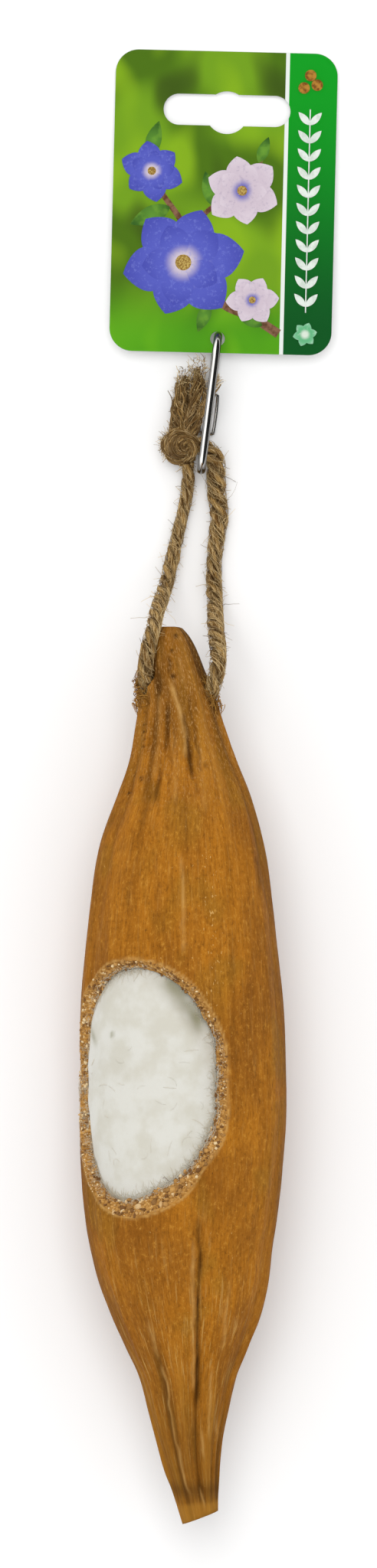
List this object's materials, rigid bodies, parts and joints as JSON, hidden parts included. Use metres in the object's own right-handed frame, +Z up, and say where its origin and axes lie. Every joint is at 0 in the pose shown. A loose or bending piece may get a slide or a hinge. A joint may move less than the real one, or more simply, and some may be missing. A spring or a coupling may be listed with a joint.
{
  "type": "kapok pod",
  "caption": "Dried woody seed pod with a cut window showing its cotton-like floss, on a knotted jute cord with a steel snap clip and a slotted hang card.",
  "frame": {"origin": "middle of the small flat spot under the pod's belly, on the surface that it lies on", "axes": "+Y along the pod towards the cord, +Z up from the surface, +X to the right seen from above"},
  "size_m": [0.065, 0.3712, 0.0471],
  "materials": {
    "husk": "dry ribbed caramel husk, satin",
    "floss": "matte off-white fibre",
    "jute": "hairy twisted jute",
    "clip_steel": "bright plated steel wire",
    "card": "printed card under a glossy laminate"
  },
  "bodies": {
    "pod": {"husk": "husk", "floss": "floss", "cord": "jute", "knot": "jute", "clip_body": "clip_steel", "card": "card"},
    "gate": {"clip_gate": "clip_steel"}
  },
  "joints": [
    {"name": "gate_hinge", "type": "hinge", "parent": "pod", "child": "gate", "pos_m": [0.00653, 0.16102, 0.00115], "axis": [0.9921, -0.1253, 0], "range_deg": [0, 18]}
  ]
}
